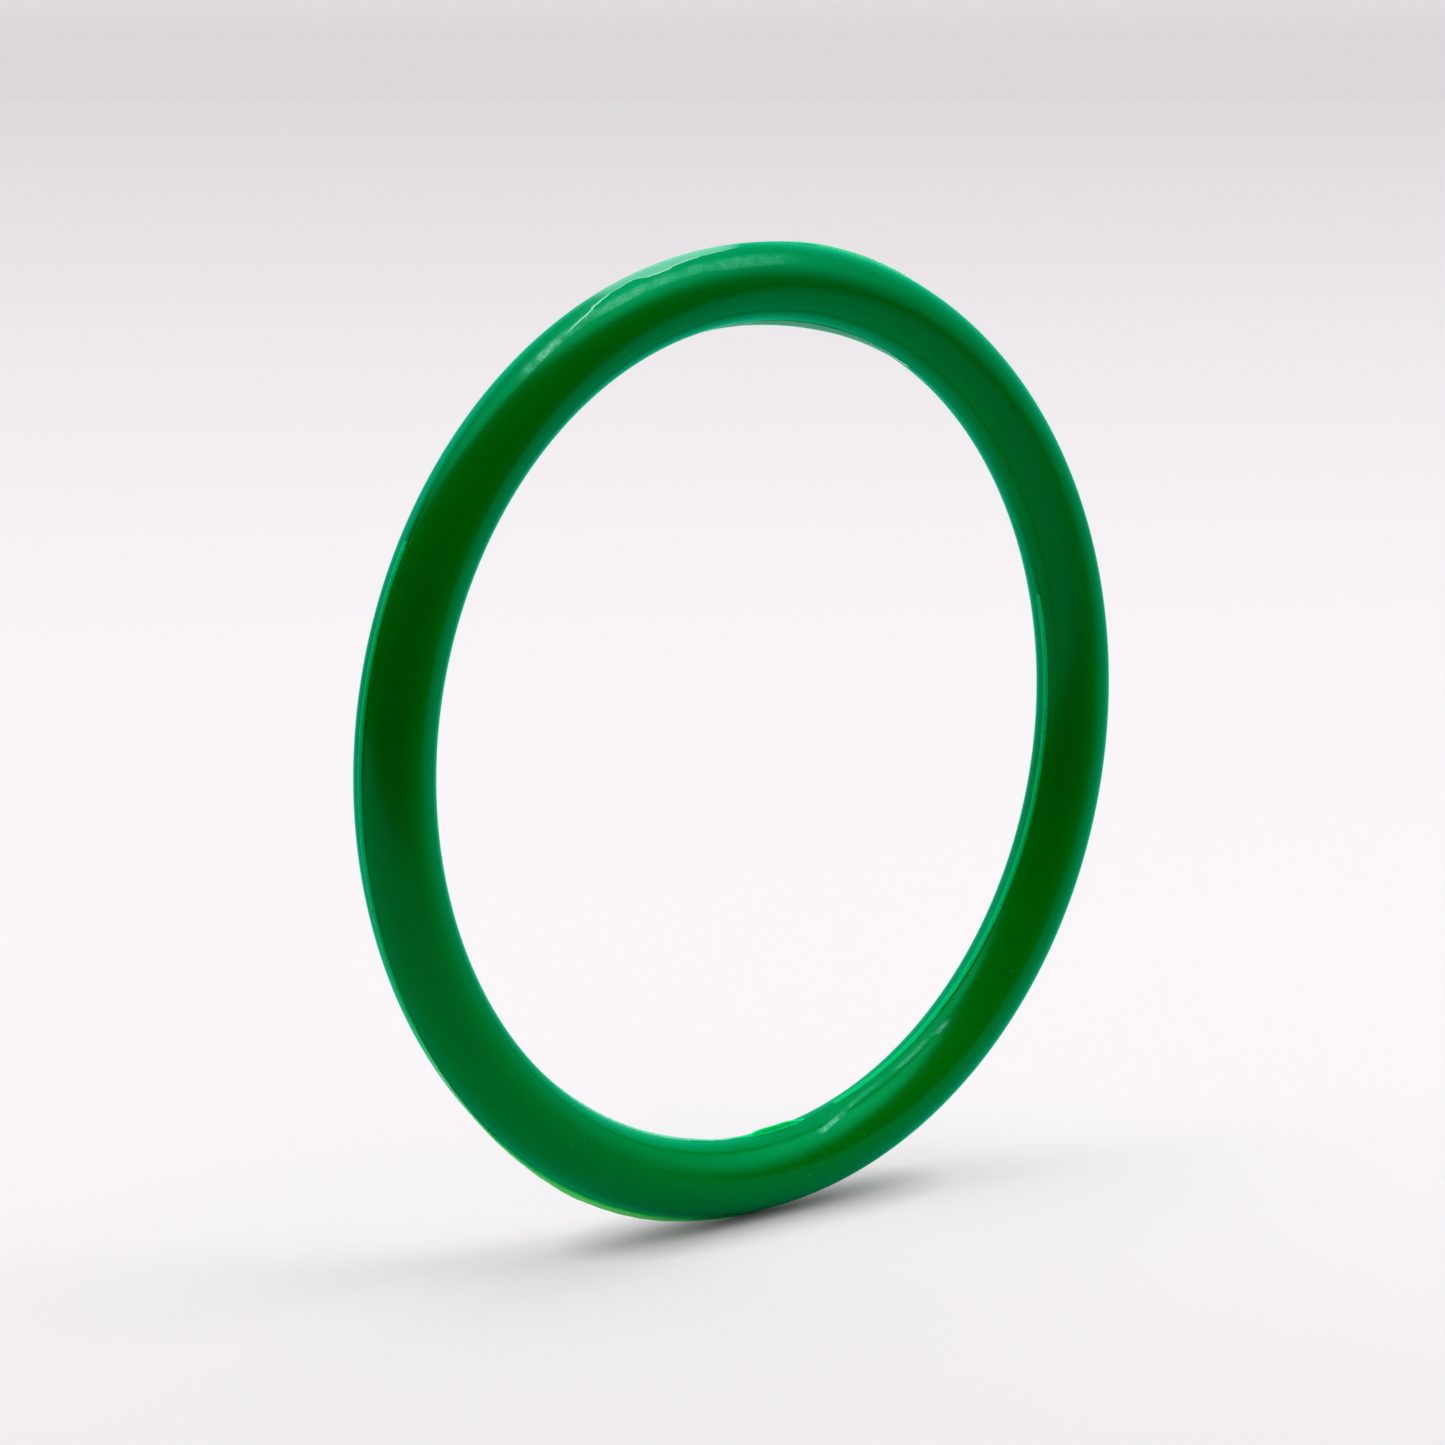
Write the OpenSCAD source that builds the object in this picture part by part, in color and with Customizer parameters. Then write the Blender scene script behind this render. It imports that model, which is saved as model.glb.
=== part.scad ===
// Flying ring: a hollow round tube that runs in a circle. It is moulded as two half shells
// that meet on the ring's middle plane, keyed by a tongue and groove and welded there.
// The ring stands on edge: its axis runs along Y, and the front half faces -Y.

/* [Ring] */
// Diameter of the circle through the middle of the tube
ring_d = 140; // [110:1:260]
// Outside diameter of the round tube
tube_d = 12; // [10:0.5:24]
// Wall of each half shell
wall = 2; // [1.8:0.1:3]

/* [Weld bead] */
// Depth of the V between the two rims that the bead fills
bead_depth = 0.5; // [0.3:0.05:0.8]
// How far the bead shows beside its lip, on each side
bead_shoulder = 0.2; // [0.1:0.05:0.5]
// Thickness of the lip that the trimming leaves on the bead
lip_t = 0.8; // [0.5:0.05:1.2]
// Height of the lip round the outside of the ring
outer_lip_h = 0.6; // [0.3:0.05:1.2]
// Height of the lip round the hole
inner_lip_h = 0.4; // [0.3:0.05:1.0]
// Bevel along both edges of the lip
lip_bevel = 0.15; // [0.05:0.05:0.2]

/* [Tongue and groove] */
// Thickness of the tongue on the back shell's rims
tongue_t = 0.6; // [0.4:0.05:0.8]
// Height of the tongue
tongue_h = 1; // [0.5:0.1:2]
// Clearance on each side of the tongue in its groove
tongue_fit = 0.05; // [0.02:0.01:0.1]
// Room past the end of the tongue
tongue_end_gap = 0.2; // [0.1:0.05:0.4]

/* [Hidden] */
$fn = 96;
shell_green = "#006b2c";
bead_green = "#00a04a";
ring_r = ring_d / 2;
tube_r = tube_d / 2;
bead_w = lip_t + 2 * bead_shoulder;
// The lip is rooted halfway down to where the V is as narrow as the lip
lip_root = bead_depth * bead_shoulder / bead_w;
// The tongue stands in the middle of the flat rim left inside the V
tongue_x = tube_r - (wall + bead_depth) / 2;
groove_t = tongue_t + 2 * tongue_fit;
groove_h = tongue_h + tongue_end_gap;

// A section is drawn round the middle of the tube: +x points away from the ring's axis
// and +y to the front. This sweeps it round the ring.
module round_the_ring() {
    rotate([90, 0, 0])
        rotate_extrude()
            translate([ring_r, 0])
                children();
}

// Draws its children on the outer side of the tube, and mirrored on the side of the hole
module both_sides() {
    children();
    mirror([1, 0])
        children();
}

// Half of the section's plane, the front one or the back one
module half_plane(front) {
    translate([-tube_d, front ? 0 : -tube_d])
        square([2 * tube_d, tube_d]);
}

// The V between the two rims, drawn as far outside the tube as it goes in
module rim_v() {
    polygon([
        [tube_r - bead_depth, 0],
        [tube_r + bead_depth, bead_w],
        [tube_r + bead_depth, -bead_w]
    ]);
}

// A strip across the seam in each rim, from its root in the back rim up into the front one
module key_strips(t, h) {
    for (side = [-1, 1])
        translate([side * tongue_x - t / 2, -t])
            square([t, h + t]);
}

// One half of the hollow tube, with its rims chamfered for the bead
module half_wall(front) {
    difference() {
        intersection() {
            circle(r = tube_r);
            half_plane(front);
        }
        circle(r = tube_r - wall);
        both_sides()
            rim_v();
    }
}

// The lip that stands on the bead, with the flat edge that the trimming left
module lip(h) {
    tip = tube_r + h;
    half_t = lip_t / 2;
    polygon([
        [tube_r - lip_root, -half_t],
        [tip - lip_bevel, -half_t],
        [tip, lip_bevel - half_t],
        [tip, half_t - lip_bevel],
        [tip - lip_bevel, half_t],
        [tube_r - lip_root, half_t]
    ]);
}

// The bead fills the V flush with the tube, and carries the lip
module bead(h) {
    intersection() {
        circle(r = tube_r);
        rim_v();
    }
    lip(h);
}

module front_shell() {
    color(shell_green)
        round_the_ring()
            difference() {
                half_wall(front = true);
                key_strips(groove_t, groove_h);
            }
}

module back_shell() {
    color(shell_green)
        round_the_ring() {
            half_wall(front = false);
            key_strips(tongue_t, tongue_h);
        }
}

module outer_weld_bead() {
    color(bead_green)
        round_the_ring()
            bead(outer_lip_h);
}

module inner_weld_bead() {
    color(bead_green)
        round_the_ring()
            mirror([1, 0])
                bead(inner_lip_h);
}

front_shell();
back_shell();
outer_weld_bead();
inner_weld_bead();
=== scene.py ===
# Flying ring: two glossy green half shells, welded on the ring's middle plane.
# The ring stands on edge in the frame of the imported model, in metres, with its axis along Y.
import math

import bpy
from bpy.props import FloatProperty, FloatVectorProperty, IntProperty, PointerProperty
from bpy.types import Operator, Panel, PropertyGroup
from mathutils import Matrix, Vector


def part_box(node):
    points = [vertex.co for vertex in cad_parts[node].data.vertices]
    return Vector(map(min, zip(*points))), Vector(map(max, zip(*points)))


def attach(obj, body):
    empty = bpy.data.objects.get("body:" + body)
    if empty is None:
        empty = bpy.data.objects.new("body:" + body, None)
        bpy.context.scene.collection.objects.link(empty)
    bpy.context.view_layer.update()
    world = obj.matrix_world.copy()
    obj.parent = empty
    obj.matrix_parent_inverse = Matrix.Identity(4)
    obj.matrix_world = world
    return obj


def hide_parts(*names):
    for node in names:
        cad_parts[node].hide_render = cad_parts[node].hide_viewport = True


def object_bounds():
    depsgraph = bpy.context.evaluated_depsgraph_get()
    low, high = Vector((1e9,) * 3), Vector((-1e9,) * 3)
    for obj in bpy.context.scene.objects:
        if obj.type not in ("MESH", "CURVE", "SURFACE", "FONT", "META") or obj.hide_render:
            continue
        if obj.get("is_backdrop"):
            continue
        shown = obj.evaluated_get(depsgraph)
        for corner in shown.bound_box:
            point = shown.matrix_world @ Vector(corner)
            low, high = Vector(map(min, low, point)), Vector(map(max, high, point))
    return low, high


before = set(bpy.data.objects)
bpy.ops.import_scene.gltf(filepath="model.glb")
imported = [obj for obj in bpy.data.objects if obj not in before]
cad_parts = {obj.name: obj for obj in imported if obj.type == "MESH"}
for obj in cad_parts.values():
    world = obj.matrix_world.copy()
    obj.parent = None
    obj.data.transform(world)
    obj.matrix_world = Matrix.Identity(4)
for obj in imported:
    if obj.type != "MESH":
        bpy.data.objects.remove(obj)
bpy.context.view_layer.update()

bl_info = {
    "name": "Flying Ring",
    "version": (1, 0, 0),
    "blender": (4, 5, 0),
    "location": "View3D > Sidebar > Flying Ring",
    "description": "Builds a flying ring of two welded half shells, with its stage",
    "category": "Object",
}

MM = 0.001
TURN = 2 * math.pi
BODY = "root"

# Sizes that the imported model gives
shell_low, shell_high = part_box("front_shell")
bead_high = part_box("outer_weld_bead")[1]
TUBE_R = -shell_low.y
RING_R = shell_high.x - TUBE_R
BEAD_HALF_W = bead_high.y
OUTER_LIP_H = bead_high.x - shell_high.x

SWEEP_STEPS = 480


class RingShape(PropertyGroup):
    """Sizes of the tube and of the ring that it makes."""

    ring_r: FloatProperty(
        name="Ring Radius",
        description="Radius of the circle through the middle of the tube",
        default=RING_R,
        unit="LENGTH",
    )
    tube_r: FloatProperty(
        name="Tube Radius",
        description="Outside radius of the round tube",
        default=TUBE_R,
        unit="LENGTH",
    )
    wall: FloatProperty(
        name="Wall",
        description="Wall of each half shell",
        default=2 * MM,
        unit="LENGTH",
    )
    tongue_t: FloatProperty(
        name="Tongue Thickness",
        description="Thickness of the tongue on the back shell's rims",
        default=0.6 * MM,
        unit="LENGTH",
    )
    tongue_h: FloatProperty(
        name="Tongue Height",
        description="Height of the tongue on the back shell's rims",
        default=1 * MM,
        unit="LENGTH",
    )
    tongue_gap: FloatProperty(
        name="Tongue Gap",
        description="Room between the tongue and the end of its groove",
        default=0.2 * MM,
        unit="LENGTH",
    )
    steps: IntProperty(
        name="Steps",
        description="Steps of each sweep round the ring",
        default=SWEEP_STEPS,
        min=48,
    )


class RingSeam(PropertyGroup):
    """Sizes of the weld bead in the seam between the two half shells."""

    half_w: FloatProperty(
        name="Half Width",
        description="Half the width of the V between the two rims, at the tube's surface",
        default=BEAD_HALF_W,
        unit="LENGTH",
    )
    depth: FloatProperty(
        name="Depth",
        description="Depth of the V between the two rims",
        default=0.5 * MM,
        unit="LENGTH",
    )
    ridge_h: FloatProperty(
        name="Ridge",
        description="How far the tube is pinched up to a ridge along the seam",
        default=0.2 * MM,
        unit="LENGTH",
    )
    ridge_w: FloatProperty(
        name="Ridge Width",
        description="How far from the seam the ridge has died down to about a third",
        default=1.5 * MM,
        unit="LENGTH",
    )
    rim_bend: FloatProperty(
        name="Rim Bend",
        description="How far each rim's rounded edge reaches on both sides of its corner",
        default=0.24 * MM,
        unit="LENGTH",
    )
    sink: FloatProperty(
        name="Sink",
        description="How far the bead lies below the tube's surface where it is sunk",
        default=0.2 * MM,
        unit="LENGTH",
    )
    band_h: FloatProperty(
        name="Band",
        description="How far the bead stands up as a low flat band where it was pressed and not trimmed",
        default=0.12 * MM,
        unit="LENGTH",
    )
    outer_lip_h: FloatProperty(
        name="Outer Lip",
        description="Most that the untrimmed lip stands proud round the outside",
        default=2 * OUTER_LIP_H,
        unit="LENGTH",
    )
    inner_lip_h: FloatProperty(
        name="Inner Lip",
        description="Most that the untrimmed lip stands proud round the hole",
        default=0.8 * MM,
        unit="LENGTH",
    )
    lip_t: FloatProperty(
        name="Lip Thickness",
        description="Thickness of the lip at its root",
        default=0.5 * MM,
        unit="LENGTH",
    )


class RingFinish(PropertyGroup):
    """Colours of the plastic."""

    shell_colour: FloatVectorProperty(
        name="Shell",
        description="Colour of the half shells",
        subtype="COLOR",
        size=3,
        default=(0.0, 0.18, 0.002),
    )
    lip_colour: FloatVectorProperty(
        name="Lip",
        description="Colour of the thin lip, which lets light through",
        subtype="COLOR",
        size=3,
        default=(0.01, 0.7, 0.15),
    )
    # Painted light: this pale also stands in for the light that comes through the thin lip from behind
    backlit_thin_colour: FloatVectorProperty(
        name="Backlit Thin Lip",
        description="Colour of the lip where it is thinnest and looks pale",
        subtype="COLOR",
        size=3,
        default=(0.3, 0.72, 0.48),
    )
    # Painted light: the band's bright green also stands in for the light it catches beyond the seam
    lit_band_colour: FloatVectorProperty(
        name="Band",
        description="Colour of the low flat band of weld",
        subtype="COLOR",
        size=3,
        default=(0.004, 0.52, 0.07),
    )
    # Painted highlight: a bright glow painted on the lip's outer edge, where light gathers
    edge_glow_colour: FloatVectorProperty(
        name="Lip Edge Glow",
        description="Colour of the lip's outer edge, where the light gathers",
        subtype="COLOR",
        size=3,
        default=(0.25, 1.0, 0.2),
    )
    # Painted highlight: this pale stands in for the light box's reflection on the trimmed smear and beside
    # the seams
    pale_and_highlight_colour: FloatVectorProperty(
        name="Pale Marks And Highlights",
        description="Colour of scraped and smeared plastic",
        subtype="COLOR",
        size=3,
        default=(0.6, 0.85, 0.72),
    )
    skin_tint: FloatVectorProperty(
        name="Skin Tint",
        description="Tint of the skin, which also tints what the plastic reflects",
        subtype="COLOR",
        size=3,
        default=(0.02, 1.0, 0.9),
    )
    dust_colour: FloatVectorProperty(
        name="Dust",
        description="Colour of the dust that clings to the ring",
        subtype="COLOR",
        size=3,
        default=(0.12, 0.42, 0.25),
    )


class RingStage(PropertyGroup):
    """Camera, light and floor."""

    lens: FloatProperty(name="Lens", description="Focal length in millimetres", default=104.96)
    azimuth: FloatProperty(
        name="Azimuth",
        description="Where the camera stands: zero is in front, on the side of -Y",
        default=math.radians(-41.10),
        subtype="ANGLE",
    )
    pitch: FloatProperty(
        name="Pitch",
        description="How far the camera looks down",
        default=math.radians(9.245),
        subtype="ANGLE",
    )
    distance: FloatProperty(
        name="Distance",
        description="From the camera to the ring's middle, along the view",
        default=654.0 * MM,
        unit="LENGTH",
    )
    aside: FloatVectorProperty(
        name="Aside",
        description="How far to the right and up of the view's middle the ring's middle lies",
        size=2,
        default=(5.40 * MM, -1.84 * MM),
        unit="LENGTH",
    )
    near_floor: FloatVectorProperty(
        name="Near Floor",
        description="Colour of the floor at the ring",
        subtype="COLOR",
        size=3,
        default=(0.63, 0.63, 0.63),
    )
    # Painted shade: the backdrop far away is darker
    far_floor: FloatVectorProperty(
        name="Far Floor",
        description="Colour of the backdrop far behind the ring",
        subtype="COLOR",
        size=3,
        default=(0.378, 0.378, 0.378),
    )


# Helpers for node trees


def add(tree, kind, inputs=(), **settings):
    """Adds a node. Settings go on the node, and each input is a value or a socket to link."""
    made = tree.nodes.new(kind)
    for key, value in settings.items():
        setattr(made, key, value)
    for key, value in dict(inputs).items():
        if isinstance(value, bpy.types.NodeSocket):
            tree.links.new(value, made.inputs[key])
        else:
            made.inputs[key].default_value = value
    return made


def calc(tree, operation, *values):
    """A Math node's result."""
    return add(tree, "ShaderNodeMath", enumerate(values), operation=operation).outputs[0]


def vector_calc(tree, operation, *values):
    """A Vector Math node's result."""
    made = add(tree, "ShaderNodeVectorMath", enumerate(values), operation=operation)
    return made.outputs["Value" if operation in ("DOT_PRODUCT", "LENGTH") else "Vector"]


def remap(tree, value, old, new, smooth=False):
    """A value mapped from one range to another, and kept inside it."""
    made = add(
        tree,
        "ShaderNodeMapRange",
        {"Value": value, "From Min": old[0], "From Max": old[1], "To Min": new[0], "To Max": new[1]},
        interpolation_type="SMOOTHSTEP" if smooth else "LINEAR",
    )
    return made.outputs["Result"]


def noise(tree, place, scale, detail):
    """A noise texture's grey."""
    return add(tree, "ShaderNodeTexNoise", {"Vector": place, "Scale": scale, "Detail": detail}).outputs[0]


def ramp(tree, value, stops):
    """A ramp of greys, each with its place."""
    made = add(tree, "ShaderNodeValToRGB", {"Fac": value})
    elements = made.color_ramp.elements
    while len(elements) < len(stops):
        elements.new(1)
    for element, (place, grey) in zip(elements, stops):
        element.position = place
        element.color = (grey, grey, grey, 1)
    return made.outputs["Color"]


FLOAT = "NodeSocketFloat"


def new_group(name, kind, inputs, outputs):
    """A node group with its sockets, each given as a name, a type and a default."""
    group = bpy.data.node_groups.new(name, kind)
    for in_out, sockets in (("INPUT", inputs), ("OUTPUT", outputs)):
        for label, socket_type, default in sockets:
            socket = group.interface.new_socket(label, in_out=in_out, socket_type=socket_type)
            if default is not None:
                socket.default_value = default
    given = add(group, "NodeGroupInput")
    result = add(group, "NodeGroupOutput")
    return group, given.outputs, result.inputs


# Sections of the tube: x points away from the ring's axis, y to the back


def arc(radius, start, end, steps):
    """Points of a round arc about the middle of the tube, between two angles in degrees."""
    angles = [math.radians(start + (end - start) * i / steps) for i in range(steps + 1)]
    return [(radius * math.cos(a), radius * math.sin(a)) for a in angles]


SEAM_ANGLES = (0, 180)


def surface_point(shape, seam, angle, ridges):
    """A point of the tube's outside, pinched up by a share of the ridge along each of the two seams."""
    radius = shape.tube_r
    for ridge, seam_angle in zip(ridges, SEAM_ANGLES):
        from_seam = abs((angle - seam_angle + 180) % 360 - 180)
        away = math.radians(from_seam) * shape.tube_r
        radius += ridge * seam.ridge_h * math.exp(-away / seam.ridge_w)
    return (radius * math.cos(math.radians(angle)), radius * math.sin(math.radians(angle)))


def bend(start, corner, end, steps):
    """Points of a smooth bend from start to end that rounds off the corner."""
    points = []
    for i in range(steps + 1):
        u = i / steps
        weights = ((1 - u) ** 2, 2 * u * (1 - u), u**2)
        points.append(tuple(sum(w * p[k] for w, p in zip(weights, (start, corner, end))) for k in (0, 1)))
    return points


def mirrored(points, axis):
    """The points mirrored across the other axis, in reverse order."""
    return [(-x, y) if axis == 0 else (x, -y) for x, y in reversed(points)]


OUTER_STEPS = 72
INNER_STEPS = 24
BEND_STEPS = 6
# A narrow face beside each rounded edge, in degrees, which keeps the edge's shading off the round tube
HOLD_ANGLE = 0.3


def bend_angle(shape, seam):
    """How far from the seam the round tube starts, beyond the rim's rounded edge, in degrees."""
    return math.degrees(math.asin(seam.half_w / shape.tube_r) + seam.rim_bend / shape.tube_r)


def shell_rim(shape, seam, tongue, ridge):
    """The front shell's rim at the outer seam: its tongue or groove, then the V and its rounded edge."""
    corner_angle = math.degrees(math.asin(seam.half_w / shape.tube_r))
    corner = surface_point(shape, seam, -corner_angle, (ridge, 0))
    bottom = (shape.tube_r - seam.depth, 0.0)
    slope = Vector(bottom) - Vector(corner)
    bend_end = Vector(corner) + slope.normalized() * seam.rim_bend
    bend_start = surface_point(shape, seam, -bend_angle(shape, seam), (ridge, 0))
    middle = shape.tube_r - (shape.wall + seam.depth) / 2
    reach = shape.tongue_h if tongue else -shape.tongue_h - shape.tongue_gap
    half_t = shape.tongue_t / 2
    key = [(middle - half_t, 0), (middle - half_t, reach), (middle + half_t, reach), (middle + half_t, 0)]
    return [*key, bottom, *bend(bend_end, corner, bend_start, BEND_STEPS)[:-1]]


def shell_section(shape, seam, tongue, ridges):
    """Outline of the front half shell, with shares of the ridge along the outer and the inner seam."""
    outer_rim = shell_rim(shape, seam, tongue, ridges[0])
    inner_rim = mirrored(shell_rim(shape, seam, tongue, ridges[1]), 0)
    start = bend_angle(shape, seam)
    first = start + HOLD_ANGLE
    angles = [first + (180 - 2 * first) * i / OUTER_STEPS for i in range(OUTER_STEPS + 1)]
    surface = [surface_point(shape, seam, -angle, ridges) for angle in (start, *angles, 180 - start)]
    inside = arc(shape.tube_r - shape.wall, -180, 0, INNER_STEPS)
    return [*outer_rim, *surface, *inner_rim, *inside]


RIDGE_STATES = ((0, 0), (1, 0), (0, 1))


def shell_sections(shape, seam, tongue):
    """Outlines of the front half shell: plain, with the outer ridge, and with the inner ridge."""
    return [shell_section(shape, seam, tongue, ridges) for ridges in RIDGE_STATES]


# How far the bead runs out over the shells, and how far it lies above their surface
FEATHER = 0.3 * MM
LIFT = 0.002 * MM
# Points of the bead from its edge to its middle: their places as shares of its half width where it is
# trimmed, their shares of the lip's height, and how far they lie from the lip's side to the bead's edge
BEAD_WIDTHS = (1.0, 0.86, 0.7, 0.5, 0.42, 0.3, 0.0)
LIP_RISES = (0.0, 0.02, 0.08, 0.25, 0.6, 0.95, 1.0)
LIP_FLARES = (1.0, 0.6, 0.3, 0.1, 0.0, -0.05, None)
# Their shares of the height of a low flat band, on its back half and on its front half, which has a groove
BAND_RISES = (0.0, 0.8, 1.0, 1.0, 1.0, 1.0, 1.0)
GROOVE_RISES = (0.0, -0.3, -0.1, 0.8, 1.0, 1.0, 1.0)
# Shares of the bead's half width: where it is sunk, and at its root. The root's share of the V's depth
SUNK_WIDTH = 0.62
ROOT_WIDTH = 0.6
ROOT_DEPTH = 0.3


def bead_sections(shape, seam, lip_h):
    """Outlines of the outer bead: trimmed flush, on the ridge, sunk, as a low band, and with its lip."""
    edge = seam.half_w + FEATHER
    low = shape.tube_r - seam.sink
    side = seam.lip_t / 2
    flush, raised, sunk, banded, grooved, standing = [], [], [], [], [], []
    rows = zip(BEAD_WIDTHS, BAND_RISES, GROOVE_RISES, LIP_RISES, LIP_FLARES)
    for width, band, groove, share, flare in rows:
        y = edge * width
        angle = math.degrees(math.asin(y / shape.tube_r))
        lift = LIFT if width < 1 else -LIFT
        surface, ridge = (surface_point(shape, seam, angle, (pinch, 0))[0] for pinch in (0, 1))
        lip_y = 0.0 if flare is None else side + flare * (edge - side)
        flush.append((surface + lift, y))
        raised.append((ridge + lift, y))
        sunk.append((low if width < 1 else low - LIFT, SUNK_WIDTH * y))
        banded.append((surface + lift + band * seam.band_h, y))
        grooved.append((surface + lift + groove * seam.band_h, y))
        standing.append((surface + lift + share * lip_h, lip_y))
    root_x, root_y = shape.tube_r - ROOT_DEPTH * seam.depth, ROOT_WIDTH * edge
    under = [(root_x, -root_y), (shape.tube_r - seam.depth, 0.0), (root_x, root_y)]
    halves = ((flush, flush), (raised, raised), (sunk, sunk), (banded, grooved), (standing, standing))
    return [[*back, *mirrored(front[:-1], 1), *under] for back, front in halves]


# Round the ring: amounts by angle in degrees, counter-clockwise from +X as seen from the front

OUTER_RIDGE = ((0, 0.2), (90, 0.3), (130, 0.4), (160, 0.9), (200, 0.9), (225, 0.6), (240, 1.0), (262, 1.0),
               (280, 0.2))
OUTER_SUNK = ((0, 0.1), (60, 0.05), (95, 0.0), (130, 0.0), (215, 0.0), (238, 0.5), (265, 0.5), (290, 0.2))
OUTER_BAND = ((0, 0.0), (132, 0.0), (150, 0.5), (165, 1.0), (200, 1.0), (215, 0.6), (225, 0.0))
OUTER_LIP = ((0, 0.04), (28, 0.08), (45, 0.16), (62, 0.2), (70, 0.32), (80, 0.3), (88, 0.04), (95, 0.0),
             (130, 0.0), (205, 0.0), (220, 0.14), (227, 0.32), (233, 0.48), (238, 0.64), (244, 0.74),
             (252, 0.72), (258, 0.56), (263, 0.46), (270, 0.36), (285, 0.24), (320, 0.07))
INNER_RIDGE = ((0, 1.0), (25, 0.6), (50, 0.0), (270, 0.0), (283, 0.5), (295, 1.0))
INNER_SUNK = ((0, 0.0), (270, 0.0), (282, 0.1), (290, 0.0))
INNER_BAND = ((0, 1.0), (10, 0.8), (25, 0.3), (38, 0.0), (279, 0.0), (285, 0.6), (291, 1.0), (340, 1.0))
INNER_LIP = ((0, 0.0), (55, 0.05), (65, 0.4), (75, 0.75), (82, 0.9), (88, 0.8), (94, 0.5), (100, 0.2),
             (106, 0.0), (120, 0.0), (212, 0.0), (225, 0.25), (240, 0.4), (255, 0.4), (262, 0.2),
             (266, 0.12), (270, 0.8), (273, 1.1), (277, 0.7), (280, 0.05), (286, 0.0))
# The states of each piece, in the order of its outlines: a state's amounts, and how much they waver
SHELL_STATES = ((OUTER_RIDGE, 0.0), (INNER_RIDGE, 0.0))
OUTER_STATES = ((OUTER_RIDGE, 0.0), (OUTER_SUNK, 0.3), (OUTER_BAND, 0.1), (OUTER_LIP, 0.3))
INNER_STATES = ((INNER_RIDGE, 0.0), (INNER_SUNK, 0.1), (INNER_BAND, 0.1), (INNER_LIP, 0.1))
WAVER_SCALE = 26.0
# How many of a bead's last states stand proud, and how high they stand where they take the lip's material
LIP_STATES = 2
LIP_MIN_H = 0.08 * MM
RISE_NAME = "lip_rise"
CREASE = math.radians(50)


def by_angle(tree, turn, amounts):
    """How much of a state or a mark shows at each angle round the ring, kept between 0 and 1."""
    made = add(tree, "ShaderNodeFloatCurve", {"Value": turn})
    points = made.mapping.curves[0].points
    points[0].location = (0, amounts[0][1])
    points[1].location = (1, amounts[0][1])
    for angle, amount in amounts[1:]:
        points.new(angle / 360, amount)
    made.mapping.update()
    return made.outputs["Value"]


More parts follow.
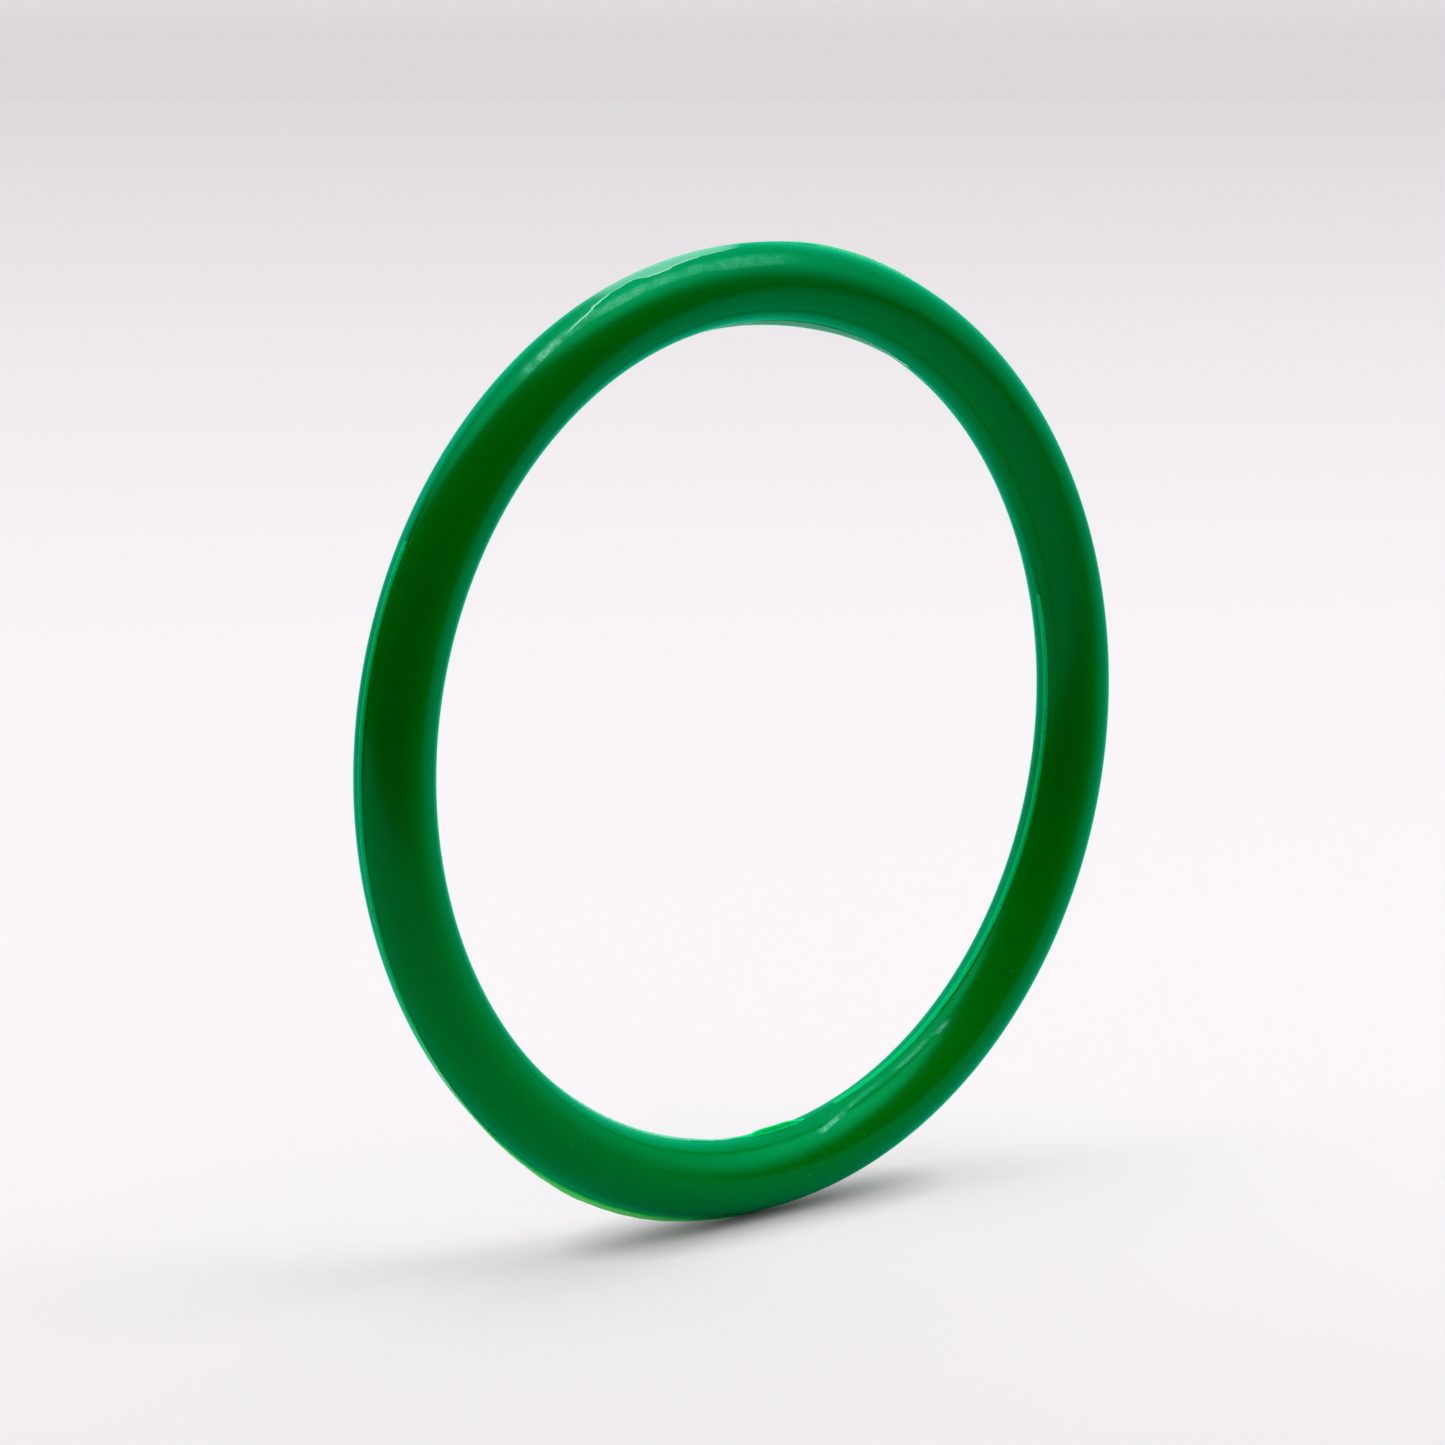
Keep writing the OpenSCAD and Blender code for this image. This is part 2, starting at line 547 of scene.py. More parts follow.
def sweep_tree(name, states, lip_states=0):
    """A tree that sweeps the object's own outline round the ring.

    The object holds one outline for the plain section and one for each further state, all with as many
    points. A state comes in by its amounts at each angle, and wavers by its share of them. What stands
    proud by the last few states, as many as lip_states says, takes the lip's material.
    """
    tree, given, result = new_group(
        name,
        "GeometryNodeTree",
        [
            ("Outlines", "NodeSocketGeometry", None),
            ("Ring Radius", FLOAT, RING_R),
            ("Steps", "NodeSocketInt", SWEEP_STEPS),
            ("Material", "NodeSocketMaterial", None),
            ("Lip Material", "NodeSocketMaterial", None),
        ],
        [("Piece", "NodeSocketGeometry", None)],
    )
    size = add(
        tree, "GeometryNodeAttributeDomainSize", {"Geometry": given["Outlines"]}, component="MESH"
    ).outputs["Point Count"]
    points = calc(tree, "DIVIDE", size, 1.0 + len(states))
    rows = calc(tree, "ADD", points, 1.0)
    columns = calc(tree, "ADD", given["Steps"], 1.0)
    grid = add(tree, "GeometryNodeMeshGrid", {"Vertices X": columns, "Vertices Y": rows})
    index = add(tree, "GeometryNodeInputIndex").outputs["Index"]
    column = calc(tree, "FLOOR", calc(tree, "DIVIDE", calc(tree, "ADD", index, 0.5), rows))
    row = calc(tree, "SUBTRACT", index, calc(tree, "MULTIPLY", column, rows))
    row = calc(tree, "MODULO", row, points)
    turn = calc(tree, "DIVIDE", column, given["Steps"])
    angle = calc(tree, "MULTIPLY", turn, TURN)
    across, up = calc(tree, "COSINE", angle), calc(tree, "SINE", angle)
    place = add(tree, "GeometryNodeInputPosition").outputs["Position"]

    def outline_point(state):
        at = calc(tree, "ADD", row, calc(tree, "MULTIPLY", points, float(state)))
        sample = add(
            tree,
            "GeometryNodeSampleIndex",
            {"Geometry": given["Outlines"], "Value": place, "Index": at},
            data_type="FLOAT_VECTOR",
            domain="POINT",
        )
        return sample.outputs["Value"]

    plain = outline_point(0)
    section = plain
    rise = 0.0
    for number, (amounts, uneven) in enumerate(states, start=1):
        circle = add(tree, "ShaderNodeCombineXYZ", {"X": across, "Y": float(number), "Z": up}).outputs[0]
        wave = calc(tree, "SUBTRACT", noise(tree, circle, WAVER_SCALE, 3.0), 0.5)
        waver = calc(tree, "MULTIPLY_ADD", wave, uneven, 1.0)
        amount = calc(tree, "MULTIPLY", by_angle(tree, turn, amounts), waver)
        change = vector_calc(tree, "SUBTRACT", outline_point(number), plain)
        scaled = vector_calc(tree, "MULTIPLY", change, amount)
        section = vector_calc(tree, "ADD", section, scaled)
        if number > len(states) - lip_states:
            rise = calc(tree, "ADD", vector_calc(tree, "LENGTH", scaled), rise)
    parts = add(tree, "ShaderNodeSeparateXYZ", {"Vector": section}).outputs
    radius = calc(tree, "ADD", given["Ring Radius"], parts["X"])
    x, z = calc(tree, "MULTIPLY", radius, across), calc(tree, "MULTIPLY", radius, up)
    swept = add(tree, "ShaderNodeCombineXYZ", {"X": x, "Y": parts["Y"], "Z": z}).outputs[0]
    shape = add(tree, "GeometryNodeSetPosition", {"Geometry": grid.outputs["Mesh"], "Position": swept})
    mesh = shape.outputs["Geometry"]
    if lip_states:
        stored = add(
            tree, "GeometryNodeStoreNamedAttribute", {"Geometry": mesh, "Name": RISE_NAME, "Value": rise}
        )
        mesh = stored.outputs["Geometry"]
    mesh = add(tree, "GeometryNodeMergeByDistance", {"Geometry": mesh, "Distance": LIFT / 2}).outputs[0]
    bent = add(tree, "GeometryNodeInputMeshEdgeAngle").outputs["Unsigned Angle"]
    sharp = calc(tree, "GREATER_THAN", bent, CREASE)
    smooth = add(tree, "GeometryNodeSetShadeSmooth", {"Geometry": mesh, "Shade Smooth": True}, domain="FACE")
    creased = add(
        tree,
        "GeometryNodeSetShadeSmooth",
        {"Geometry": smooth.outputs[0], "Selection": sharp, "Shade Smooth": False},
        domain="EDGE",
    )
    whole = add(tree, "GeometryNodeRealizeInstances", {"Geometry": creased.outputs[0]})
    painted = add(
        tree, "GeometryNodeSetMaterial", {"Geometry": whole.outputs[0], "Material": given["Material"]}
    ).outputs[0]
    if lip_states:
        rise = add(
            tree, "GeometryNodeInputNamedAttribute", {"Name": RISE_NAME}, data_type="FLOAT"
        ).outputs[0]
        stands = calc(tree, "GREATER_THAN", rise, LIP_MIN_H)
        painted = add(
            tree,
            "GeometryNodeSetMaterial",
            {"Geometry": painted, "Selection": stands, "Material": given["Lip Material"]},
        ).outputs[0]
    tree.links.new(painted, result["Piece"])
    return tree


def sweep(name, outlines, tree, **values):
    """A plain mesh object, made by sweeping the outlines round the ring."""
    source = bpy.data.meshes.new(name + "_outlines")
    points = [(x, y, 0.0) for outline in outlines for x, y in outline]
    source.from_pydata(points, [], [])
    holder = bpy.data.objects.new(name + "_outlines", source)
    bpy.context.scene.collection.objects.link(holder)
    modifier = holder.modifiers.new("Sweep", "NODES")
    modifier.node_group = tree
    for item in tree.interface.items_tree:
        if item.in_out == "INPUT" and item.name in values:
            modifier[item.identifier] = values[item.name]
    graph = bpy.context.evaluated_depsgraph_get()
    mesh = bpy.data.meshes.new_from_object(holder.evaluated_get(graph), depsgraph=graph)
    bpy.data.objects.remove(holder)
    bpy.data.meshes.remove(source)
    mesh.name = name
    piece = bpy.data.objects.new(name, mesh)
    bpy.context.scene.collection.objects.link(piece)
    if not mesh.polygons:
        raise RuntimeError(f"the sweep of {name} came out empty")
    return piece


def stand_for(piece, node):
    """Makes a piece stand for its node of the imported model."""
    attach(piece, BODY)
    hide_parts(node)


# Finishes

# The ends between which most of a noise's values lie
NOISE_ENDS = (0.3, 0.7)
RIPPLE_GAIN = 2.0


def moulded_grain():
    """The fine unevenness of moulded plastic: a height, and a grain for the gloss."""
    name = "Moulded Grain"
    if name in bpy.data.node_groups:
        return bpy.data.node_groups[name]
    group, given, result = new_group(
        name,
        "ShaderNodeTree",
        [("Pore Size", FLOAT, 0.3 * MM), ("Ripple Size", FLOAT, 3 * MM)],
        [("Height", FLOAT, None), ("Grain", FLOAT, None)],
    )
    place = add(group, "ShaderNodeTexCoord").outputs["Object"]
    fine = noise(group, place, calc(group, "DIVIDE", 1.0, given["Pore Size"]), 2.0)
    broad = noise(group, place, calc(group, "DIVIDE", 1.0, given["Ripple Size"]), 1.0)
    group.links.new(calc(group, "MULTIPLY_ADD", broad, RIPPLE_GAIN, fine), result["Height"])
    group.links.new(fine, result["Grain"])
    return group


# A speck shows by its cell's chance, from none at the low end
SPECK_CHANCES = (0.5, 1.0)
# How the scratches' noise is turned and drawn out, and the ends between which a scratch comes in
SCRATCH_TURN = (0.5, 0.3, 0.8)
SCRATCH_STRETCH = (1, 30, 30)
SCRATCH_ENDS = (0.7, 0.78)


def handling_marks():
    """Marks of use: specks of dust and fine scratches."""
    name = "Handling Marks"
    if name in bpy.data.node_groups:
        return bpy.data.node_groups[name]
    group, given, result = new_group(
        name,
        "ShaderNodeTree",
        [
            ("Speck Spacing", FLOAT, 3 * MM),
            ("Speck Size", FLOAT, 0.17 * MM),
            ("Scratch Spacing", FLOAT, 6 * MM),
        ],
        [("Dust", FLOAT, None), ("Scratches", FLOAT, None)],
    )
    place = add(group, "ShaderNodeTexCoord").outputs["Object"]
    cells = add(
        group,
        "ShaderNodeTexVoronoi",
        {"Vector": place, "Scale": calc(group, "DIVIDE", 1.0, given["Speck Spacing"])},
        feature="F1",
    )
    reach = calc(group, "DIVIDE", given["Speck Size"], given["Speck Spacing"])
    near = calc(group, "LESS_THAN", cells.outputs["Distance"], reach)
    chance = add(group, "ShaderNodeSeparateColor", {"Color": cells.outputs["Color"]}).outputs["Red"]
    dust = calc(group, "MULTIPLY", near, remap(group, chance, SPECK_CHANCES, (0.0, 1.0)))
    group.links.new(dust, result["Dust"])
    stretch = add(
        group, "ShaderNodeMapping", {"Vector": place, "Rotation": SCRATCH_TURN, "Scale": SCRATCH_STRETCH}
    ).outputs[0]
    lines = noise(group, stretch, calc(group, "DIVIDE", 1.0, given["Scratch Spacing"]), 1.0)
    group.links.new(remap(group, lines, SCRATCH_ENDS, (0.0, 1.0)), result["Scratches"])
    return group


def round_ring(tree, place):
    """A place's turn round the ring, from 0 to 1, its distance from the ring's axis, and its y."""
    x, y, z = add(tree, "ShaderNodeSeparateXYZ", {"Vector": place}).outputs
    turn = calc(tree, "FRACT", calc(tree, "DIVIDE", calc(tree, "ARCTAN2", z, x), TURN))
    away = calc(tree, "SQRT", calc(tree, "ADD", calc(tree, "MULTIPLY", x, x), calc(tree, "MULTIPLY", z, z)))
    return turn, away, y


# How far the smear reaches to the front of the outer seam at each angle, as a share of its most
SMEAR_SHARES = ((0, 0.0), (90, 0.0), (94, 0.45), (97.5, 0.68), (102, 0.67), (106, 0.76), (108.3, 0.7),
                (109.5, 0.42), (111, 0.4), (115.7, 0.57), (121, 0.82), (123, 0.86), (124.5, 0.0), (180, 0.0))
# How pale the smear and its edge are at each angle: the trimmed facet is real, its pale is a painted
# highlight
SMEAR_GAINS = ((0, 0.0), (90, 0.0), (95, 0.7), (99, 1.0), (110, 1.0), (115, 0.25), (124, 0.0))
EDGE_GAINS = ((0, 0.0), (96, 0.0), (101, 0.9), (108, 1.0), (113, 0.7), (116, 1.0), (121, 0.8), (124, 0.0))
# How far the smear's edge wavers, where the smear ends behind the seam, and where its edge comes in and goes
# out again, in widths of the edge
SMEAR_WAVER = (-0.05, 0.05)
SMEAR_END = (1 * MM, 2 * MM)
EDGE_IN = (0.0, 0.3)
EDGE_OUT = (0.5, 1.2)
# Painted highlights, grainy patches beside the outer seam and streaks beside the inner one: how far in front
# of the seam they lie at each angle, as a share of the tube's radius, how strong they are there, and half
# their width
PATCH_PLACES = ((0, 0.7), (94, 0.75), (101, 0.67), (115, 0.53), (127, 0.4), (180, 0.4))
PATCH_GAINS = ((0, 0.0), (84, 0.0), (91, 0.25), (99, 0.3), (104, 0.2), (110, 0.4), (117, 0.4), (121, 0.35),
               (124, 0.8), (128, 0.8), (130, 0.0))
PATCH_HALF_W = 0.8 * MM
STREAK_PLACES = ((0, 0.4), (278, 0.62), (281, 0.55), (286, 0.4), (292, 0.28), (298, 0.32), (303, 0.32),
                 (305, 0.4), (309, 0.42))
STREAK_GAINS = ((0, 0.0), (278.5, 0.0), (280, 0.7), (284, 0.6), (286, 0.25), (292, 0.2), (294, 0.0),
                (297, 0.3), (303, 0.35), (304, 0.0), (305, 0.6), (306.5, 0.6), (308, 0.0))
STREAK_HALF_W = 0.45 * MM
# Where they are at full strength, as shares of half their width to the front and to the back
FULL_FRONT = 0.8
FULL_BACK = 0.2
# A noise's ends and the strengths that they give: in the patches, in the streaks, and in the grain of both
PATCH_SPOTS = ((0.35, 0.6), (0.25, 1.0))
STREAK_SPOTS = ((0.3, 0.5), (0.3, 1.0))
GRAIN_SPECKS = ((0.4, 0.6), (0.15, 1.0))


def trim_marks_and_highlights():
    """The knife's smear on the weld, painted pale as a highlight, and grainy painted highlights beside the
    seams.
    """
    name = "Trim Marks"
    if name in bpy.data.node_groups:
        return bpy.data.node_groups[name]
    group, given, result = new_group(
        name,
        "ShaderNodeTree",
        [
            ("Ring Radius", FLOAT, RING_R),
            ("Tube Radius", FLOAT, TUBE_R),
            ("Smear Reach", FLOAT, 3.4 * MM),
            ("Edge Width", FLOAT, 0.38 * MM),
            ("Patch Size", FLOAT, 2.2 * MM),
            ("Grain Size", FLOAT, 0.17 * MM),
        ],
        [("Smear", FLOAT, None), ("Pale", FLOAT, None)],
    )
    place = add(group, "ShaderNodeTexCoord").outputs["Object"]
    turn, away, y = round_ring(group, place)
    outside = calc(group, "GREATER_THAN", away, given["Ring Radius"])
    inside = calc(group, "SUBTRACT", 1.0, outside)

    def product(*values):
        total = values[0]
        for value in values[1:]:
            total = calc(group, "MULTIPLY", total, value)
        return total

    patch = noise(group, place, calc(group, "DIVIDE", 1.0, given["Patch Size"]), 2.0)
    grain = noise(group, place, calc(group, "DIVIDE", 1.0, given["Grain Size"]), 2.0)
    speckle = remap(group, grain, *GRAIN_SPECKS)
    waver = remap(group, patch, NOISE_ENDS, SMEAR_WAVER)
    uneven = calc(group, "ADD", by_angle(group, turn, SMEAR_SHARES), waver)
    over = calc(group, "MULTIPLY_ADD", uneven, given["Smear Reach"], y)
    over = calc(group, "DIVIDE", over, given["Edge Width"])
    front = remap(group, y, SMEAR_END, (1.0, 0.0))
    covered = product(remap(group, over, EDGE_IN, (0.0, 1.0)), outside, front)
    group.links.new(product(covered, by_angle(group, turn, SMEAR_GAINS)), result["Smear"])
    pale = product(covered, remap(group, over, EDGE_OUT, (1.0, 0.0)), by_angle(group, turn, EDGE_GAINS))
    # The painted highlights: grainy patches beside the outer seam and streaks beside the inner one
    for side, places, gains, half_w, spots in (
        (outside, PATCH_PLACES, PATCH_GAINS, PATCH_HALF_W, PATCH_SPOTS),
        (inside, STREAK_PLACES, STREAK_GAINS, STREAK_HALF_W, STREAK_SPOTS),
    ):
        apart = calc(group, "MULTIPLY_ADD", by_angle(group, turn, places), given["Tube Radius"], y)
        front_edge = remap(group, apart, (-half_w, -FULL_FRONT * half_w), (0.0, 1.0))
        back_edge = remap(group, apart, (FULL_BACK * half_w, half_w), (1.0, 0.0))
        spotty = remap(group, patch, *spots)
        strength = by_angle(group, turn, gains)
        marked = product(front_edge, back_edge, side, spotty, speckle, strength)
        pale = calc(group, "MAXIMUM", pale, marked)
    group.links.new(pale, result["Pale"])
    return group


# A Mix node's sockets for colours: its factor, its two colours and its result
MIX_FACTOR, MIX_FIRST, MIX_SECOND, MIX_RESULT = 0, 6, 7, 2


def mix_colour(tree, factor, first, second):
    """Mixes two colours, each given as a socket or three numbers."""
    first, second = (c if isinstance(c, bpy.types.NodeSocket) else (*c, 1) for c in (first, second))
    inputs = {MIX_FACTOR: factor, MIX_FIRST: first, MIX_SECOND: second}
    return add(tree, "ShaderNodeMix", inputs, data_type="RGBA").outputs[MIX_RESULT]


def new_material(name):
    """A new material that is made of nodes, and its tree."""
    material = bpy.data.materials.new(name)
    material.use_nodes = True
    return material, material.node_tree


SKIN_IOR = 1.01
SKIN_ROUGHNESS = 0.12


def add_skin(shader, finish):
    """Lays a thin skin on the plastic: it hardly shines by itself, but tints all that is under it."""
    shader.inputs["Coat IOR"].default_value = SKIN_IOR
    shader.inputs["Coat Roughness"].default_value = SKIN_ROUGHNESS
    shader.inputs["Coat Tint"].default_value = (*finish.skin_tint, 1)


BUMP_REACH = 0.1 * MM


def add_bump(tree, shader, height, strength):
    """Lets a height stand out on the plastic."""
    bump = add(tree, "ShaderNodeBump", {"Height": height, "Strength": strength, "Distance": BUMP_REACH})
    tree.links.new(bump.outputs["Normal"], shader.inputs["Normal"])


PLASTIC_IOR = 1.5
# The tint of the plastic's own shine, under the skin
SHINE_TINT = (1.0, 1.0, 0.4, 1.0)
SHELL_GLOSS = (0.17, 0.23)
SHELL_BUMP = 0.12
# The faint clouds in the plastic's colour
CLOUD_SCALE = 60.0
CLOUD_SHADE = 0.9
# How much each mark shows, and how much of the skin is left on the smear and the painted highlights, which
# lets them shine whiter
SCRATCH_SHARE = 0.05
DUST_SHARE = 0.6
SMEAR_SHARE = 0.5
PALE_SHARE = 0.8
PALE_MARK_SKIN = 0.3


def shell_plastic(finish):
    """Glossy, fully coloured plastic of the half shells."""
    name = "Green Tube Plastic"
    if name in bpy.data.materials:
        return bpy.data.materials[name]
    material, tree = new_material(name)
    shader = tree.nodes["Principled BSDF"]
    grain = add(tree, "ShaderNodeGroup", node_tree=moulded_grain()).outputs
    marks = add(tree, "ShaderNodeGroup", node_tree=handling_marks()).outputs
    trim_and_highlights = add(tree, "ShaderNodeGroup", node_tree=trim_marks_and_highlights()).outputs
    cloud = noise(tree, add(tree, "ShaderNodeTexCoord").outputs["Object"], CLOUD_SCALE, 2.0)
    colour = tuple(finish.shell_colour)
    shade = mix_colour(tree, cloud, tuple(CLOUD_SHADE * c for c in colour), colour)
    scratched = calc(tree, "MULTIPLY", marks["Scratches"], SCRATCH_SHARE)
    dust = calc(tree, "MAXIMUM", calc(tree, "MULTIPLY", marks["Dust"], DUST_SHARE), scratched)
    shade = mix_colour(tree, dust, shade, tuple(finish.dust_colour))
    # The smear and the painted highlights, pale in colour and with less of the skin's tint
    smear_and_highlight = calc(tree, "MAXIMUM", calc(tree, "MULTIPLY", trim_and_highlights["Smear"], SMEAR_SHARE), trim_and_highlights["Pale"])
    shade = mix_colour(tree, calc(tree, "MULTIPLY", smear_and_highlight, PALE_SHARE), shade, tuple(finish.pale_and_highlight_colour))
    tree.links.new(shade, shader.inputs["Base Color"])
    gloss = remap(tree, grain["Grain"], NOISE_ENDS, SHELL_GLOSS)
    gloss = calc(tree, "ADD", gloss, scratched)
    tree.links.new(gloss, shader.inputs["Roughness"])
    add_bump(tree, shader, grain["Height"], SHELL_BUMP)
    shader.inputs["IOR"].default_value = PLASTIC_IOR
    shader.inputs["Specular Tint"].default_value = SHINE_TINT
    add_skin(shader, finish)
    tree.links.new(remap(tree, smear_and_highlight, (0.0, 1.0), (1.0, PALE_MARK_SKIN)), shader.inputs["Coat Weight"])
    return material


# How pale the lips round the hole and round the outside are at each angle: paler where they are thin, and
# painted light there that stands in for the light coming through them from behind
BACKLIT_INSIDE = ((0, 0.0), (45, 0.0), (60, 1.0), (262, 1.0), (267, 0.0))
BACKLIT_OUTSIDE = ((0, 0.0), (25, 0.0), (60, 0.6), (100, 0.6), (130, 0.0), (340, 0.0))
# A painted highlight along the outer lip's edge, a glow where light gathers: how far from the seam it fades
# out, and how light it is at each angle
GLOW_EDGE_HALF_W = (0.22 * MM, 0.29 * MM)
GLOW_EDGE_SHARES = ((0, 0.0), (205, 0.0), (220, 1.0), (255, 1.0), (268, 0.0))
# How much of the skin's tint the backlit thin lip and the painted glow on the lip's edge lose
BACKLIT_BARE = 0.5
GLOW_EDGE_BARE = 0.6
LIP_GLOSS = (0.2, 0.35)
LIP_BUMP = 0.1
# How much the grain darkens the lip at most, and how far light goes through it
LIP_SHADE = 0.2
LIP_LIGHT_DEPTH = 1.0 * MM
BLACK = (0.0, 0.0, 0.0)


def lip_plastic(finish):
    """The thin lip of the weld, which lets light through, with painted light on its thin parts, edge and
    band.
    """
    name = "Green Lip Plastic"
    if name in bpy.data.materials:
        return bpy.data.materials[name]
    material, tree = new_material(name)
    shader = tree.nodes["Principled BSDF"]
    grain = add(tree, "ShaderNodeGroup", node_tree=moulded_grain()).outputs
    turn, away, y = round_ring(tree, add(tree, "ShaderNodeTexCoord").outputs["Object"])
    inside = calc(tree, "LESS_THAN", away, RING_R)
    outside = calc(tree, "GREATER_THAN", away, RING_R)
    # The lip painted pale where it is thin, partly painted light from behind
    thin = calc(tree, "MULTIPLY", by_angle(tree, turn, BACKLIT_INSIDE), inside)
    thin = calc(tree, "MULTIPLY_ADD", by_angle(tree, turn, BACKLIT_OUTSIDE), outside, thin)
    # A painted glow along the outer lip's edge
    edge = remap(tree, calc(tree, "ABSOLUTE", y), GLOW_EDGE_HALF_W, (1.0, 0.0))
    edge = calc(tree, "MULTIPLY", edge, by_angle(tree, turn, GLOW_EDGE_SHARES))
    edge = calc(tree, "MULTIPLY", edge, outside)
    # The low band of weld, coloured brighter as painted light
    band = calc(tree, "MULTIPLY", by_angle(tree, turn, INNER_BAND), inside)
    band = calc(tree, "MULTIPLY_ADD", by_angle(tree, turn, OUTER_BAND), outside, band)
    colour = mix_colour(tree, band, tuple(finish.lip_colour), tuple(finish.lit_band_colour))
    colour = mix_colour(tree, edge, colour, tuple(finish.edge_glow_colour))
    colour = mix_colour(tree, thin, colour, tuple(finish.backlit_thin_colour))
    darkened = remap(tree, grain["Grain"], NOISE_ENDS, (0.0, LIP_SHADE))
    tree.links.new(mix_colour(tree, darkened, colour, BLACK), shader.inputs["Base Color"])
    tree.links.new(remap(tree, grain["Grain"], NOISE_ENDS, LIP_GLOSS), shader.inputs["Roughness"])
    add_bump(tree, shader, grain["Height"], LIP_BUMP)
    shader.inputs["Subsurface Weight"].default_value = 1.0
    shader.inputs["Subsurface Radius"].default_value = (1.0, 1.0, 1.0)
    shader.inputs["Subsurface Scale"].default_value = LIP_LIGHT_DEPTH
    add_skin(shader, finish)
    backlit_bare, glow_edge_bare = calc(tree, "MULTIPLY", thin, BACKLIT_BARE), calc(tree, "MULTIPLY", edge, GLOW_EDGE_BARE)
    bare = calc(tree, "MAXIMUM", backlit_bare, glow_edge_bare)
    tree.links.new(calc(tree, "SUBTRACT", 1.0, bare), shader.inputs["Coat Weight"])
    return material


# Operators


def sweep_values(scene):
    """Values that every sweep takes: the ring's radius, its steps and the shells' plastic."""
    shape = scene.ring_shape
    return {"Ring Radius": shape.ring_r, "Steps": shape.steps, "Material": shell_plastic(scene.ring_finish)}


class FLYINGRING_OT_front_shell(Operator):
    """Makes the half shell that faces the front, with grooves in its rims"""

    bl_idname = "flying_ring.front_shell"
    bl_label = "Front Shell"

    def execute(self, context):
        scene = context.scene
        piece = sweep(
            "front_half",
            shell_sections(scene.ring_shape, scene.ring_seam, tongue=False),
            sweep_tree("Front Sweep", SHELL_STATES),
            **sweep_values(scene),
        )
        stand_for(piece, "front_shell")
        return {"FINISHED"}


class FLYINGRING_OT_back_shell(Operator):
    """Makes the half shell that faces the back, with tongues on its rims"""

    bl_idname = "flying_ring.back_shell"
    bl_label = "Back Shell"

    def execute(self, context):
        scene = context.scene
        outlines = shell_sections(scene.ring_shape, scene.ring_seam, tongue=True)
        piece = sweep(
            "back_half",
            [mirrored(outline, 1) for outline in outlines],
            sweep_tree("Back Sweep", SHELL_STATES),
            **sweep_values(scene),
        )
        stand_for(piece, "back_shell")
        return {"FINISHED"}


class FLYINGRING_OT_weld_beads(Operator):
    """Makes the weld beads round the outside and round the hole, with their uneven lips"""

    bl_idname = "flying_ring.weld_beads"
    bl_label = "Weld Beads"

    def execute(self, context):
        scene = context.scene
        shape, seam = scene.ring_shape, scene.ring_seam
        outer = bead_sections(shape, seam, seam.outer_lip_h)
        inner = [mirrored(outline, 0) for outline in bead_sections(shape, seam, seam.inner_lip_h)]
        for name, outlines, states in (
            ("outer_weld", outer, OUTER_STATES),
            ("inner_weld", inner, INNER_STATES),
        ):
            piece = sweep(
                name,
                outlines,
                sweep_tree(name.replace("_", " ").title() + " Sweep", states, LIP_STATES),
                **sweep_values(scene),
                **{"Lip Material": lip_plastic(scene.ring_finish)},
            )
            stand_for(piece, name + "_bead")
        return {"FINISHED"}


def view_axes(stage):
    """The camera's right, up and forward directions."""
    back = Vector((math.sin(stage.azimuth), -math.cos(stage.azimuth), 0.0))
    forward = -back * math.cos(stage.pitch) + Vector((0, 0, -math.sin(stage.pitch)))
    right = forward.cross(Vector((0, 0, 1))).normalized()
    return right, right.cross(forward), forward


CAMERA_NEAR = 10 * MM


def add_camera(scene, stage):
    """The camera, which looks at the ring from the front and the left, and from a little above."""
    right, up, forward = view_axes(stage)
    data = bpy.data.cameras.new("Camera")
    data.lens = stage.lens
    data.clip_start = CAMERA_NEAR
    camera = bpy.data.objects.new("Camera", data)
    spot = -(right * stage.aside[0] + up * stage.aside[1] + forward * stage.distance)
    turn = Matrix((right, up, -forward)).transposed().to_4x4()
    camera.matrix_world = Matrix.Translation(spot) @ turn
    scene.collection.objects.link(camera)
    scene.camera = camera


def towards(azimuth, elevation):
    """A direction from its azimuth, which is zero at the front, and its elevation, both in degrees."""
    azimuth, elevation = math.radians(azimuth), math.radians(elevation)
    level = math.cos(elevation)
    return Vector((level * math.sin(azimuth), -level * math.cos(azimuth), math.sin(elevation)))


LIGHT_COLOUR = (1.0, 0.938, 0.985, 1.0)
# The light by height: the sine of the elevation, and the light there as a share of LIGHT_SCALE
LIGHT_SCALE = 5.0
LIGHT_BY_HEIGHT = (
    (0.0, 0.144),
    (0.06, 0.2),
    (0.42, 0.25),
    (0.6, 0.26),
    (0.71, 0.27),
    (0.82, 0.38),
    (0.906, 0.58),
    (0.966, 0.76),
    (1.0, 0.82),
)
# Brighter panels of the light box: azimuth, elevation and spread in degrees, and the light that each adds
LIGHT_PANELS = ((58, 56, 26, 1.9), (55, 32, 17, 0.9), (-128, 54, 16, 0.9), (-175, 28, 22, 0.5))


